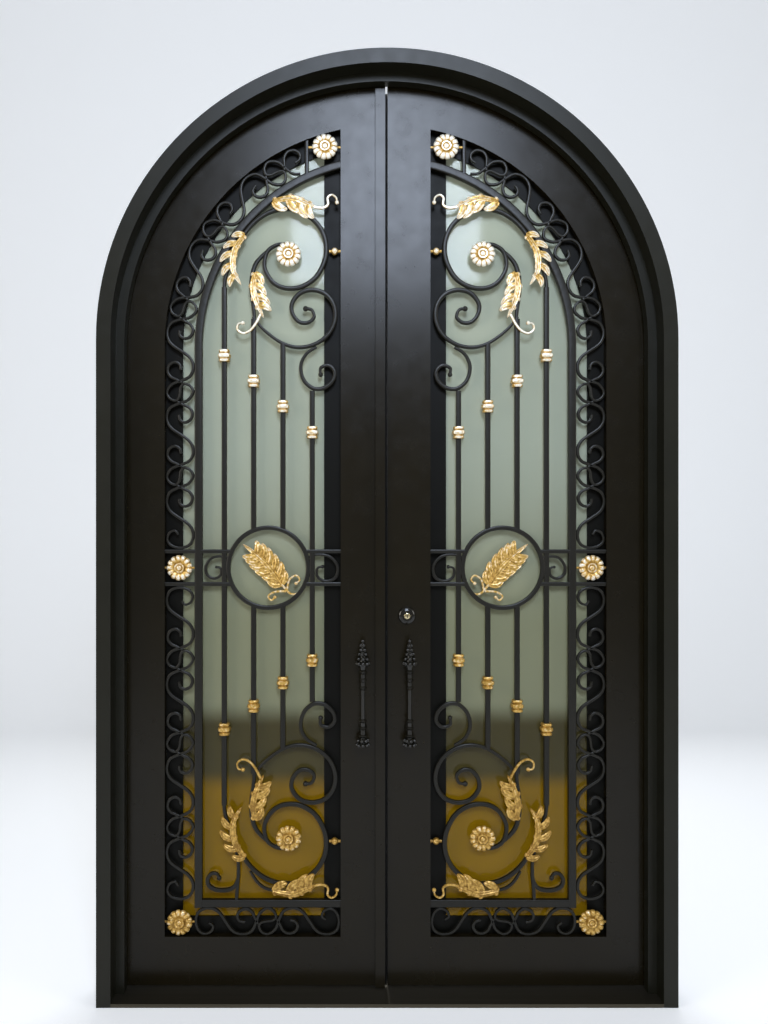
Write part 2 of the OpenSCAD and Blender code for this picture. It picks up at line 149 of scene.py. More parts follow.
# The frame. Jambs, arched head and stops are folded from steel sheet, welded, ground flush and
# sprayed with satin dark bronze paint. The sill is a drawn bar.
def bronze_paint(name, dark, light, rough, hammer_mm, hammer, shine=0.32):
    """Sprayed satin paint on steel: nearly black brown-green, softly clouded, with orange peel."""
    material, tree, shader, place = new_material(name, {"Specular IOR Level": shine})
    cloud = add(tree, "ShaderNodeTexNoise", {"Vector": place, "Scale": 1 / 0.16, "Detail": 3.0})
    tone = add(tree, "ShaderNodeMix", {0: cloud.outputs["Fac"], 6: linear(dark), 7: linear(light)},
               data_type="RGBA")
    wipe = add(tree, "ShaderNodeTexNoise", {"Vector": place, "Scale": 1 / 0.045, "Detail": 4.0})
    gloss = add(tree, "ShaderNodeMapRange", {"Value": wipe.outputs["Fac"], "From Min": 0.3,
                "From Max": 0.7, "To Min": rough - 0.02, "To Max": rough + 0.03})
    # Orange peel is about 1.5 mm across, and is drawn at 3 mm so that it shows.
    peel = add(tree, "ShaderNodeTexNoise", {"Vector": place, "Scale": 1 / 0.003, "Detail": 1.0})
    dents = add(tree, "ShaderNodeTexNoise", {"Vector": place, "Scale": 1000 / hammer_mm,
                "Detail": 1.0})
    fine = add(tree, "ShaderNodeBump", {"Height": peel.outputs["Fac"], "Distance": 0.00005,
               "Strength": 0.35})
    broad = add(tree, "ShaderNodeBump", {"Height": dents.outputs["Fac"], "Distance": hammer / 1000,
                "Strength": 1.0, "Normal": fine.outputs[0]})
    tree.links.new(tone.outputs[2], shader.inputs["Base Color"])
    tree.links.new(gloss.outputs[0], shader.inputs["Roughness"])
    tree.links.new(broad.outputs[0], shader.inputs["Normal"])
    return material


def dress(material, *names):
    """Gives CAD nodes a material."""
    for name in names:
        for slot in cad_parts[name].material_slots:
            slot.material = material


frame_paint = bronze_paint("bronze_painted_frame", "#14140d", "#1d1c13", 0.36, 210, 0.4, shine=0.25)
dress(frame_paint, "left_jamb", "right_jamb", "arch_head")
dress(frame_paint, "side_stops", "arch_stop")

sill, tree, shader, place = new_material("anodised_aluminium_sill", {"Metallic": 0.85,
                                         "Roughness": 0.42})
# Drawn lines run along the sill. They are about 0.4 mm apart, and are drawn at 2 mm.
drawn = add(tree, "ShaderNodeMapping", {"Vector": place, "Scale": (1.0, 500.0, 500.0)})
lines = add(tree, "ShaderNodeTexNoise", {"Vector": drawn.outputs[0], "Scale": 1.0, "Detail": 2.0})
worn = add(tree, "ShaderNodeMix", {0: lines.outputs["Fac"], 6: linear("#3a362d"),
           7: linear("#5c5648")}, data_type="RGBA")
tree.links.new(worn.outputs[2], shader.inputs["Base Color"])
dress(sill, "threshold")

# The leaves. Stiles, rails and the astragal are welded from steel tube and sheet and painted with
# the frame. They are a shade browner, and their broad flat faces wave a little in the light.
SIDES = {"left": -1, "right": 1}
leaf_paint = bronze_paint("bronze_painted_leaf", "#110d04", "#191407", 0.25, 420, 0.4, shine=0.24)
for side in SIDES:
    dress(leaf_paint, *[f"{side}_{part}" for part in ("hinge_stile", "lock_stile", "bottom_rail",
                                                      "arch_rail")])
dress(leaf_paint, "left_astragal")

# Black rubber seals the meeting edges: a lip on the left leaf, behind the astragal, and a thin strip
# on the edge of the right leaf. They are matt, so no light shows between the leaves.
rubber, tree, shader, place = new_material("black_rubber_seal", {"Roughness": 0.8,
                                           "Specular IOR Level": 0.1})
bloom = add(tree, "ShaderNodeTexNoise", {"Vector": place, "Scale": 1 / 0.03, "Detail": 2.0})
dusty = add(tree, "ShaderNodeMix", {0: bloom.outputs["Fac"], 6: linear("#060606"),
            7: linear("#0d0d0c")}, data_type="RGBA")
tree.links.new(dusty.outputs[2], shader.inputs["Base Color"])
SEAL_TOP = 2.955
# Each seal: (name, body, lowest and highest x, lowest and highest y), in millimetres
SEALS = [("meeting_lip", "left_door", -1.0, 4.6, 27.0, 33.0),
         ("meeting_strip", "right_door", 6.3, 7.0, 28.0, 72.0)]
leaf_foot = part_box("left_lock_stile")[0][2]
for name, body, x_low, x_high, y_low, y_high in SEALS:
    mesh = bmesh.new()
    bmesh.ops.create_cube(mesh, size=1.0)
    bmesh.ops.scale(mesh, vec=((x_high - x_low) / 1000, (y_high - y_low) / 1000,
                               SEAL_TOP - leaf_foot), verts=mesh.verts)
    bmesh.ops.translate(mesh, vec=((x_low + x_high) / 2000, (y_low + y_high) / 2000,
                                   (SEAL_TOP + leaf_foot) / 2), verts=mesh.verts)
    bmesh.ops.bevel(mesh, geom=mesh.edges, offset=0.0003, segments=2, affect="EDGES")
    data = bpy.data.meshes.new(name)
    mesh.to_mesh(data)
    mesh.free()
    data.materials.append(rubber)
    piece = bpy.data.objects.new(name, data)
    bpy.context.collection.objects.link(piece)
    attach(piece, body)

# The glazing. Each leaf holds a sealed pane in a painted steel frame that opens inward for
# cleaning. The glass is coated to hold off the sun, so it mirrors like dark water. Its grey-green
# and amber are painted reflection.
glass, tree, shader, place = new_material("coated_glass_painted_reflection", {"Roughness": 0.06, "IOR": 1.5,
                                          "Specular IOR Level": 0.08,
                                          "Transmission Weight": 0.3})
height = add(tree, "ShaderNodeSeparateXYZ", {0: place}).outputs["Z"]
# The base colour is painted reflection, by height: amber at the foot, a darker band above that, and paler
# towards the top.
PAINTED_REFLECTION_TINTS = [(0.64, 0.72, "#4c4526"), (0.86, 0.95, "#949678"), (1.15, 1.85, "#b6bda9")]
painted_reflection = linear("#8c6b0c")
for start, stop, colour in PAINTED_REFLECTION_TINTS:
    share = add(tree, "ShaderNodeMapRange", {"Value": height, "From Min": start, "From Max": stop},
                interpolation_type="SMOOTHSTEP")
    painted_reflection = add(tree, "ShaderNodeMix", {0: share.outputs[0], 6: painted_reflection, 7: linear(colour)},
               data_type="RGBA").outputs[2]
tree.links.new(painted_reflection, shader.inputs["Base Color"])
# Toughened glass is never quite flat: its rollers leave waves about 250 mm long.
roll = add(tree, "ShaderNodeTexNoise", {"Vector": place, "Scale": 1 / 0.25, "Detail": 0.0})
wave = add(tree, "ShaderNodeBump", {"Height": roll.outputs["Fac"], "Distance": 0.0004})
tree.links.new(wave.outputs[0], shader.inputs["Normal"])
glass_frame_paint = bronze_paint("bronze_painted_glass_frame", "#080805", "#0e0d09", 0.45, 150, 0.2,
                                 shine=0.12)
for side in SIDES:
    dress(glass, f"{side}_glass")
    dress(glass_frame_paint, f"{side}_glass_frame")


# The border bars, uprights and rails are flat and square iron bars with their corners hammered
# round, welded where they cross. Sizes are in millimetres, drawn on the right leaf.
GRILLE_Y = 31
SPRING_Z = 2125
LOCK_U = 148
OPENING_R = 728
BAR_R = 618
BAR_W = 26
BAR_Z = 283
MID_R = 679.5
MID_Z = 223.5
UPRIGHTS = (242, 339, 436, 533)
UPRIGHT_TOPS = (1978, 2135, 2215, 2320)
MIRROR_Z = 1464
RING_U, RING_Z, RING_R, RING_W = 387.5, 1393, 140, 15
RAILS = (1339, 1447)
DIVIDER_U = 260


def smooth(path, steps):
    """A smooth line through points."""
    line = []
    last = len(path) - 1
    for i in range(last):
        a, b, c, d = path[max(i - 1, 0)], path[i], path[i + 1], path[min(i + 2, last)]
        for k in range(steps):
            t = k / steps
            line.append([0.5 * (2 * q + (r - p) * t + (2 * p - 5 * q + 4 * r - s) * t * t
                         + (3 * q - p - 3 * r + s) * t * t * t) for p, q, r, s in zip(a, b, c, d)])
    return line + [list(path[last])]


def squared(angle, power):
    """A point of a unit circle, pushed towards a square as power falls below 1."""
    c, s = math.cos(angle), math.sin(angle)
    return math.copysign(abs(c) ** power, c), math.copysign(abs(s) ** power, s)


def skin(mesh, rings, closed=False):
    """Joins rings of points into a closed surface."""
    made = [[mesh.verts.new(point) for point in ring] for ring in rings]
    pairs = list(zip(made, made[1:])) + ([(made[-1], made[0])] if closed else [])
    for a, b in pairs:
        for k in range(len(a)):
            mesh.faces.new((a[k - 1], a[k], b[k], b[k - 1]))
    if not closed:
        mesh.faces.new(made[0])
        mesh.faces.new(reversed(made[-1]))


def bar(mesh, line, width, depth, y, sides=12, power=0.45, closed=False):
    """An iron bar along a flat line. width is one number or one for each point."""
    count = len(line)
    widths = width if isinstance(width, list) else [width] * count
    rings = []
    for i, (u, z) in enumerate(line):
        a = line[i - 1] if closed or i else line[0]
        b = line[(i + 1) % count] if closed else line[min(i + 1, count - 1)]
        run = math.dist(a, b)
        du, dz = (b[0] - a[0]) / run, (b[1] - a[1]) / run
        thin = min(1.0, widths[i] / max(widths) + 0.35)
        ring = []
        for k in range(sides):
            across, out = squared(2 * math.pi * (k + 0.5) / sides, power)
            ring.append((u - dz * across * widths[i] / 2, y + out * depth * thin / 2,
                         z + du * across * widths[i] / 2))
        rings.append(ring)
    skin(mesh, rings, closed)


def turned(mesh, place, profile, axis="Z", sides=24, power=1.0):
    """A turned or square-sided knob: profile lists (half width, distance along the axis)."""
    rings = []
    for radius, along in profile:
        ring = []
        for k in range(sides):
            a, b = squared(2 * math.pi * (k + 0.5) / sides, power)
            offset = {"Z": (a * radius, b * radius, along), "X": (along, a * radius, b * radius),
                      "Y": (a * radius, along, b * radius)}[axis]
            ring.append([p + q for p, q in zip(place, offset)])
        rings.append(ring)
    skin(mesh, rings)


def put_up(name, mesh, side, material, record_slot, *nodes):
    """Makes a leaf's piece from a mesh in millimetres, and hangs it on its leaf."""
    bmesh.ops.scale(mesh, vec=(SIDES[side] / 1000, 0.001, 0.001), verts=mesh.verts)
    bmesh.ops.recalc_face_normals(mesh, faces=mesh.faces)
    data = bpy.data.meshes.new(name)
    mesh.to_mesh(data)
    mesh.free()
    data.materials.append(material)
    data.shade_smooth()
    data.set_sharp_from_angle(angle=math.radians(38))
    piece = bpy.data.objects.new(name, data)
    bpy.context.collection.objects.link(piece)
    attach(piece, f"{side}_door")
    if nodes:
        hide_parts(*[f"{side}_{node}" for node in nodes])
    return piece


def arc(radius, start, stop, steps):
    """Points of an arc about the middle of the arch, in degrees from the springing line."""
    turns = [math.radians(start + (stop - start) * i / steps) for i in range(steps + 1)]
    return [(radius * math.cos(t), SPRING_Z + radius * math.sin(t)) for t in turns]


def border_frame(mesh):
    """The bar that frames the panel: along the foot, up the side and round the arch."""
    arch = arc(BAR_R, 0, math.degrees(math.acos(LOCK_U / BAR_R)), 60)
    side_line = [(BAR_R, z) for z in range(BAR_Z - BAR_W // 2, SPRING_Z, 60)]
    bar(mesh, side_line + arch, BAR_W, 20, GRILLE_Y + 10, sides=16, power=0.28)
    foot_line = [(LOCK_U, BAR_Z), (BAR_R - BAR_W / 2 + 2, BAR_Z)]
    bar(mesh, foot_line, BAR_W, 20, GRILLE_Y + 10, sides=16, power=0.28)
    top = SPRING_Z + math.sqrt(OPENING_R ** 2 - DIVIDER_U ** 2)
    foot = SPRING_Z + math.sqrt(BAR_R ** 2 - DIVIDER_U ** 2)
    bar(mesh, [(DIVIDER_U, foot), (DIVIDER_U, top)], 13, 20, GRILLE_Y + 10, power=0.28)


def uprights(mesh):
    """Four square bars, stopped at the medallion ring. They keep one size from end to end, though the real
    bars are thinner above their upper collars.
    """
    for i, u in enumerate(UPRIGHTS):
        top = UPRIGHT_TOPS[i]
        foot = 2 * MIRROR_Z - top
        reach = math.sqrt(max((RING_R - 6) ** 2 - (u - RING_U) ** 2, 0))
        spans = [(foot, top)] if i in (0, 3) else [(foot, RING_Z - reach), (RING_Z + reach, top)]
        for low_z, high_z in spans:
            steps = 10
            line = [(u, low_z + (high_z - low_z) * k / steps) for k in range(steps + 1)]
            bar(mesh, line, 17, 17, GRILLE_Y + 9, sides=16, power=0.35)


def medallion_ring(mesh):
    """The ring and its pair of rails. The small scrolls beside it are added to the same mesh after it."""
    circle = [(RING_U + (RING_R - RING_W / 2) * math.cos(math.radians(t)),
               RING_Z + (RING_R - RING_W / 2) * math.sin(math.radians(t))) for t in range(0, 360, 5)]
    bar(mesh, circle, RING_W, 16, GRILLE_Y + 8, power=0.5, closed=True)
    for z in RAILS:
        reach = math.sqrt((RING_R - 4) ** 2 - (z - RING_Z) ** 2)
        for u_a, u_b in ((LOCK_U, RING_U - reach), (RING_U + reach, OPENING_R)):
            bar(mesh, [(u_a, z), (u_b, z)], 13, 16, GRILLE_Y + 8, power=0.35)


black_iron = bronze_paint("black_bronze_forged_iron", "#100f0a", "#1c1a13", 0.36, 16, 0.4)
for side in SIDES:
    for name, draw, node in (("border_frame_bar", border_frame, "border_bars"),
                             ("upright_square_bars", uprights, "upright_bars")):
        mesh = bmesh.new()
        draw(mesh)
        put_up(f"{side}_{name}", mesh, side, black_iron, "bronze_painted_iron", node)

# The scrolls are round-edged bars, drawn out thin at their ends, bent cold around a jig and finished
# with a small bead in the eye. The lower panel mirrors the upper one.
BIG_SCROLL = [(533, 2280), (531, 2345), (508, 2415), (479, 2477), (440, 2530), (390, 2566),
              (334, 2581), (278, 2572), (228, 2534), (202, 2488), (196, 2440), (206, 2396),
              (234, 2350), (280, 2322), (330, 2318), (370, 2336), (396, 2374), (400, 2408),
              (388, 2442), (358, 2461), (328, 2463)]
BRANCH = [(432, 2206), (436, 2250), (442, 2300), (442, 2350), (432, 2392), (412, 2420), (388, 2442)]
MIDDLE_SCROLL = [(438, 2222), (402, 2180), (345, 2138), (290, 2122), (235, 2132), (190, 2164),
                 (167, 2212), (170, 2260), (196, 2297), (238, 2312), (280, 2303), (308, 2270),
                 (308, 2236), (286, 2207), (256, 2204), (236, 2222), (244, 2246), (264, 2250)]
SMALL_SCROLL = [(228, 2123), (262, 2100), (280, 2060), (270, 2014), (238, 1986), (202, 1988),
                (174, 2012), (168, 2042), (188, 2062), (214, 2054), (214, 2032)]
CORNER_SCROLL = [(495, 462), (487, 421), (486, 390), (488, 362), (502, 336), (530, 326),
                 (562, 328), (584, 342), (588, 362), (576, 380), (558, 380), (550, 366)]
CORNER_FOOT = [(487, 372), (489, 345), (493, 290)]
RAIL_SCROLL = [(262, 1424), (230, 1436), (185, 1430), (158, 1398), (164, 1362), (196, 1348),
               (224, 1362), (226, 1390), (208, 1396)]
OUTER_RAIL_SCROLL = [(515, 1424), (542, 1430), (574, 1425), (594, 1398), (590, 1370), (567, 1357),
                     (546, 1368), (545, 1390), (559, 1395)]
SPRAY_ARM = [(447, 2540), (424, 2575), (394, 2597), (350, 2604)]
SCROLL_Y = GRILLE_Y + 8


def scroll(mesh, path, end_w, mid_w, depth, bead, steps=6):
    """A bar that swells in its middle along a smooth line, with a bead at its far end."""
    line = smooth(path, steps)
    last = len(line) - 1
    widths = [end_w + (mid_w - end_w) * math.sin(math.pi * i / last) for i in range(last + 1)]
    bar(mesh, line, widths, depth, SCROLL_Y, power=0.6)
    if bead:
        u, z = line[-1]
        ball = [(bead * math.sin(math.radians(t)), -bead * math.cos(math.radians(t)))
                for t in range(10, 171, 20)]
        turned(mesh, (u, SCROLL_Y, z), ball, sides=12)


def upside_down(path):
    return [(u, 2 * MIRROR_Z - z) for u, z in path]


def panel_scrolls(mesh, turn):
    scroll(mesh, turn(BIG_SCROLL), 11, 16, 16, 0)
    scroll(mesh, turn(BRANCH), 10, 15, 14, 0)
    scroll(mesh, turn(MIDDLE_SCROLL), 9, 15, 15, 9)
    scroll(mesh, turn(SMALL_SCROLL), 9, 14, 14, 8)
    scroll(mesh, turn(SPRAY_ARM), 8, 10, 10, 0)


for side in SIDES:
    mesh = bmesh.new()
    panel_scrolls(mesh, list)
    put_up(f"{side}_upper_scrollwork", mesh, side, black_iron, "bronze_painted_iron",
           "upper_scrolls")
    mesh = bmesh.new()
    panel_scrolls(mesh, upside_down)
    scroll(mesh, CORNER_SCROLL, 9, 14, 14, 8)
    scroll(mesh, CORNER_FOOT, 11, 12, 13, 0)
    put_up(f"{side}_lower_scrollwork", mesh, side, black_iron, "bronze_painted_iron",
           "lower_scrolls")
    mesh = bmesh.new()
    medallion_ring(mesh)
    scroll(mesh, RAIL_SCROLL, 7, 11, 12, 6)
    scroll(mesh, OUTER_RAIL_SCROLL, 7, 10, 12, 5)
    put_up(f"{side}_medallion_ring_and_rails", mesh, side, black_iron, "bronze_painted_iron",
           "medallion_ring")

# The border is a running row of thin scrolls between the frame bar and the leaf. Each scroll rounds
# its own side of the border and curls up inside the loop that it shares with the next.
WAVE = 278
HALF_WAVE = [(0, 0), (19, 27), (40, 41), (65, 43), (88, 31), (102, 2), (113, -26), (138, -43),
             (159, -34), (167, -14), (156, -3), (139, 0)]
HALF_END = [(0, 0), (19, 27), (40, 41), (65, 43), (89, 30), (98, 2), (90, -28), (70, -42),
            (48, -34), (41, -16), (54, -6)]
CURL = [(170, -8), (181, 12), (190, 30), (208, 41), (229, 35), (239, 17), (231, 1), (214, -3)]
HOOK = [(65, 43), (88, 31), (102, 2), (113, -26), (138, -43), (159, -34), (167, -14), (156, -3),
        (139, 0)]
END_RUN = 103


def up_border(path, start):
    """Places a path on the side and arch border, start being the height of its own zero."""
    placed = []
    for along, across in path:
        run = along + start - SPRING_Z
        radius = MID_R + across
        turn = max(run, 0) / MID_R
        placed.append((radius * math.cos(turn), SPRING_Z + radius * math.sin(turn) + min(run, 0)))
    return placed


def along_foot(path, start):
    return [(start + along, MID_Z + across) for along, across in path]


def half_turn(path):
    return [(-along, -across) for along, across in path]


def whole_wave(upper, lower):
    return half_turn(lower)[::-1] + upper[1:]


def border_scrolls(mesh):
    top = RAILS[1] + 6.5 + END_RUN
    bottom = RAILS[0] - 6.5 - END_RUN
    paths = [up_border(half_turn(HOOK), top + 5 * WAVE), up_border(half_turn(CURL), top + 5 * WAVE)]
    for k in range(5):
        paths.append(up_border(whole_wave(HALF_WAVE, HALF_END if k == 0 else HALF_WAVE),
                               top + k * WAVE))
        paths.append(up_border(CURL, top + k * WAVE))
        if k:
            paths.append(up_border(half_turn(CURL), top + k * WAVE))
    for k in range(4):
        paths.append(up_border(whole_wave(HALF_END if k == 0 else HALF_WAVE,
                                          HALF_END if k == 3 else HALF_WAVE), bottom - k * WAVE))
        if k:
            paths.append(up_border(CURL, bottom - k * WAVE))
        if k < 3:
            paths.append(up_border(half_turn(CURL), bottom - k * WAVE))
    start = LOCK_U + END_RUN
    for k in range(2):
        paths.append(along_foot(whole_wave(HALF_END if k else HALF_WAVE,
                                           HALF_WAVE if k else HALF_END), start + k * WAVE))
        paths.append(along_foot(half_turn(CURL) if k else CURL, start + k * WAVE))
    for path in paths:
        scroll(mesh, path, 8, 10.5, 12, 0, steps=4)


for side in SIDES:
    mesh = bmesh.new()
    border_scrolls(mesh)
    put_up(f"{side}_border_scrollwork", mesh, side, black_iron, "bronze_painted_iron",
           "border_scrolls")


# The gilt castings: collars, rosettes, leaves and the spray in the ring. They are brass-plated iron,
# brushed with gold paint. Their pale crests are painted highlight and their amber hollows painted shade.
def gilt(name):
    """Gold paint with painted highlight, pale where a casting's own ridges stand up, and painted shade,
    amber in its hollows.
    """
    material, tree, shader, place = new_material(name, {"Metallic": 0.4, "Roughness": 0.36})
    ridge = add(tree, "ShaderNodeAttribute", attribute_name="ridge").outputs["Fac"]
    mottle = add(tree, "ShaderNodeTexNoise", {"Vector": place, "Scale": 1 / 0.009, "Detail": 3.0})
    patchy = add(tree, "ShaderNodeMapRange", {"Value": mottle.outputs["Fac"], "From Min": 0.35,
                 "From Max": 0.65, "To Min": -0.22, "To Max": 0.22})
    # The painted highlight grows towards the top: the castings high up are painted nearly white, and those
    # near the foot keep their gold.
    height = add(tree, "ShaderNodeSeparateXYZ", {0: place}).outputs["Z"]
    share = add(tree, "ShaderNodeMapRange", {"Value": height, "From Min": 0.9, "From Max": 2.3,
                "To Min": 0.42, "To Max": 1.3})
    # The crest share is the painted highlight, and the patchy mottle is the gilding's own uneven tone.
    crest = add(tree, "ShaderNodeMath", {0: ridge, 1: share.outputs[0]}, operation="MULTIPLY")
    painted_light_and_mottle = add(tree, "ShaderNodeMath", {0: crest.outputs[0], 1: patchy.outputs[0]},
                 use_clamp=True)
    deep = add(tree, "ShaderNodeMapRange", {"Value": painted_light_and_mottle.outputs[0], "From Max": 0.45})
    pale = add(tree, "ShaderNodeMapRange", {"Value": painted_light_and_mottle.outputs[0], "From Min": 0.4, "From Max": 0.85})
    # Low shares are painted shade, amber in the hollows; high shares are painted highlight, nearly white.
    hollow = add(tree, "ShaderNodeMix", {0: deep.outputs[0], 6: linear("#8f6a26"),
                 7: linear("#dcb25c")}, data_type="RGBA")
    tone = add(tree, "ShaderNodeMix", {0: pale.outputs[0], 6: hollow.outputs[2],
               7: linear("#fbf5e3")}, data_type="RGBA")
    grain = add(tree, "ShaderNodeBump", {"Height": mottle.outputs["Fac"], "Distance": 0.0004})
    tree.links.new(tone.outputs[2], shader.inputs["Base Color"])
    tree.links.new(grain.outputs[0], shader.inputs["Normal"])
    return material


gold = gilt("gilt_casting_painted_highlight_and_shade")
COLLAR_TOPS = (1840, 1926, 2010, 2094)
COLLAR_FEET = (1087, 1013, 936, 859)
# Three stepped bands, with a swelling in the middle, as (half width, height)
COLLAR = [(10, -20), (16, -19.5), (17.5, -17), (17.5, -13), (15, -10), (13.5, -8.5), (17, -7),
          (20, -4.5), (20.8, 0), (20, 4.5), (17, 7), (13.5, 8.5), (15, 10), (17.5, 13), (17.5, 17),
          (16, 19.5), (10, 20)]
ROSETTE_R = 42
ROSETTES = [(200, 2782), (MID_R, RING_Z), (MID_R, MID_Z), (320, 2428), (320, 2 * MIRROR_Z - 2428)]


def mark_ridges(mesh, start, rule):
    """Stores on each new vertex how far its casting's surface stands up there, from 0 to 1. The gilt turns
    this into painted highlight where it is high and painted shade where it is low.
    """
    layer = mesh.verts.layers.float.get("ridge") or mesh.verts.layers.float.new("ridge")
    mesh.verts.ensure_lookup_table()
    for vert in mesh.verts[start:]:
        vert[layer] = rule(vert.co)


def collars(mesh):
    for i, u in enumerate(UPRIGHTS):
        for z in (COLLAR_TOPS[i], COLLAR_FEET[i]):
            turned(mesh, (u, GRILLE_Y + 9, z), COLLAR, sides=20, power=0.55)
    centre_y = GRILLE_Y + 9
    mark_ridges(mesh, 0, lambda co: 0.75 if co.y < centre_y - 15.5 else 0.3)


def rosette(mesh, u, z, petals=13):
    """A cast flower: fluted petals around a raised ring and a button."""
    layer = mesh.verts.layers.float.get("ridge") or mesh.verts.layers.float.new("ridge")
    around = petals * 8
    rings = [(0.0, 12.0), (0.1, 12.0), (0.17, 10.6), (0.2, 8.6), (0.24, 9.0), (0.3, 12.0),
             (0.36, 12.2), (0.41, 9.5), (0.45, 6.4), (0.55, 8.2), (0.68, 10.2), (0.8, 10.0),
             (0.9, 8.2), (0.97, 5.4), (1.0, 3.0)]
    rows = []
    for share, lift in rings[1:]:
        row = []
        for k in range(around):
            angle = 2 * math.pi * k / around
            flute = abs(math.cos(petals * angle / 2))
            fan = min(max((share - 0.42) / 0.3, 0), 1)
            radius = ROSETTE_R * share * (1 - 0.09 * fan * (1 - flute) ** 2)
            rise = lift - 2.8 * fan * (1 - flute) ** 1.8
            vert = mesh.verts.new((u + radius * math.cos(angle), GRILLE_Y - rise - 1,
                                   z + radius * math.sin(angle)))
            # Painted highlight on the flutes' crests and the raised ring, painted shade in the flutes'
            # valleys.
            vert[layer] = min(max(0.12 + 0.9 * flute ** 0.6 * fan + 0.7 * (1 - fan) * (lift > 10), 0), 1)
            row.append(vert)
        rows.append(row)
    rows.append([mesh.verts.new((v.co.x, GRILLE_Y, v.co.z)) for v in rows[-1]])
    for a, b in zip(rows, rows[1:]):
        for k in range(around):
            mesh.faces.new((a[k - 1], a[k], b[k], b[k - 1]))
    mesh.faces.new(rows[0])
    mesh.faces.new(reversed(rows[-1]))


def rod(mesh, a, b, radius, y):
    """A thin round rod between two points."""
    bar(mesh, [a, b], 2 * radius, 2 * radius, y, sides=10, power=1.0)


def rosettes(mesh):
    """The five cast flowers, the rods that hold the boxed ones, and two gilt balls on stubs."""
    for u, z in ROSETTES:
        rosette(mesh, u, z)
    outer = BAR_R + BAR_W / 2
    start = len(mesh.verts)
    for z in (RING_Z, MID_Z):
        rod(mesh, (outer, z), (OPENING_R, z), 4, GRILLE_Y + 4)
    rod(mesh, (LOCK_U, ROSETTES[0][1]), (DIVIDER_U - 6, ROSETTES[0][1]), 4, GRILLE_Y + 4)
    for z in (2440, 2 * MIRROR_Z - 2440):
        ball = [(0.5, -12), (5, -11), (9, -8), (11.5, -3.5), (12, 0), (11.5, 3.5), (9, 8), (5, 11),
                (0.5, 12)]
        turned(mesh, (LOCK_U + 20, GRILLE_Y + 8, z), ball)
        rod(mesh, (LOCK_U, z), (LOCK_U + 38, z), 5, GRILLE_Y + 8)
    mark_ridges(mesh, start, lambda co: 0.55 if co.y < GRILLE_Y else 0.2)


for side in SIDES:
    mesh = bmesh.new()
    collars(mesh)
    put_up(f"{side}_gilt_collars", mesh, side, gold, "gilded_iron", "collars")
    mesh = bmesh.new()
    rosettes(mesh)
    put_up(f"{side}_gilt_rosettes", mesh, side, gold, "gilded_iron", "rosettes")

# Each acanthus leaf is a casting: a midrib from which pointed, fluted lobes sweep out and curl
# towards the tip, each lapping over the next.
LEAVES = [
    # (midrib, reach of the lobes on its left and right, number of lobes)
    ([(372, 2601), (322, 2612), (286, 2604), (254, 2592), (222, 2578)], 12, 44, 4),
    ([(464, 2490), (486, 2462), (500, 2428), (504, 2388), (494, 2352), (476, 2326)], 10, 36, 5),
    ([(430, 2366), (437, 2330), (432, 2290), (420, 2256), (402, 2218)], 40, 12, 4),
]
TIP_CURLS = [
    [(236, 2582), (208, 2579), (190, 2590), (191, 2612), (178, 2622), (163, 2613), (160, 2597)],
    [(412, 2228), (428, 2198), (447, 2175), (470, 2166), (488, 2178), (485, 2197), (470, 2200)],
]


def lobe(mesh, path, widest, lift, layer_y):
    """One pointed lobe: a closed blade with a crest along its middle and a hollow on each side."""
    layer = mesh.verts.layers.float.get("ridge") or mesh.verts.layers.float.new("ridge")
    line = smooth(path, 5)
    last = len(line) - 1
    # The section, from edge to edge: (share of half width, height, share of painted highlight)
    section = [(-1.0, 0.0, 0.6), (-0.72, 0.55, 0.9), (-0.4, 0.35, 0.35), (0.0, 1.0, 1.0),
               (0.4, 0.35, 0.35), (0.72, 0.55, 0.9), (1.0, 0.0, 0.6)]
    rings = []
    for i, (u, z) in enumerate(line):
        a, b = line[max(i - 1, 0)], line[min(i + 1, last)]
        run = math.dist(a, b)
        du, dz = (b[0] - a[0]) / run, (b[1] - a[1]) / run
        share = i / last
        half = widest / 2 * max(math.sin(math.pi * (0.14 + 0.86 * share)) ** 0.6, 0.06)
        base = 2.0 + lift * math.sin(math.pi * min(share * 0.8 + 0.2, 1))
        front = [((u - dz * w * half, layer_y - base - 3.2 * h, z + du * w * half), r)
                 for w, h, r in section]
        rear = [((u - dz * w * half, layer_y - base + 2.0, z + du * w * half), 0.1)
                for w in (1.0, 0.0, -1.0)]
        rings.append(front + rear)
    start = len(mesh.verts)
    skin(mesh, [[point for point, _ in ring] for ring in rings])
    mesh.verts.ensure_lookup_table()
    # Each vertex's share of painted highlight, growing towards the lobe's tip.
    highlight_shares = [(0.3 + 0.7 * (i / last)) * wear_and_sheen for i, ring in enumerate(rings) for _, wear_and_sheen in ring]
    for vert, wear_and_sheen in zip(mesh.verts[start:], highlight_shares):
        vert[layer] = wear_and_sheen


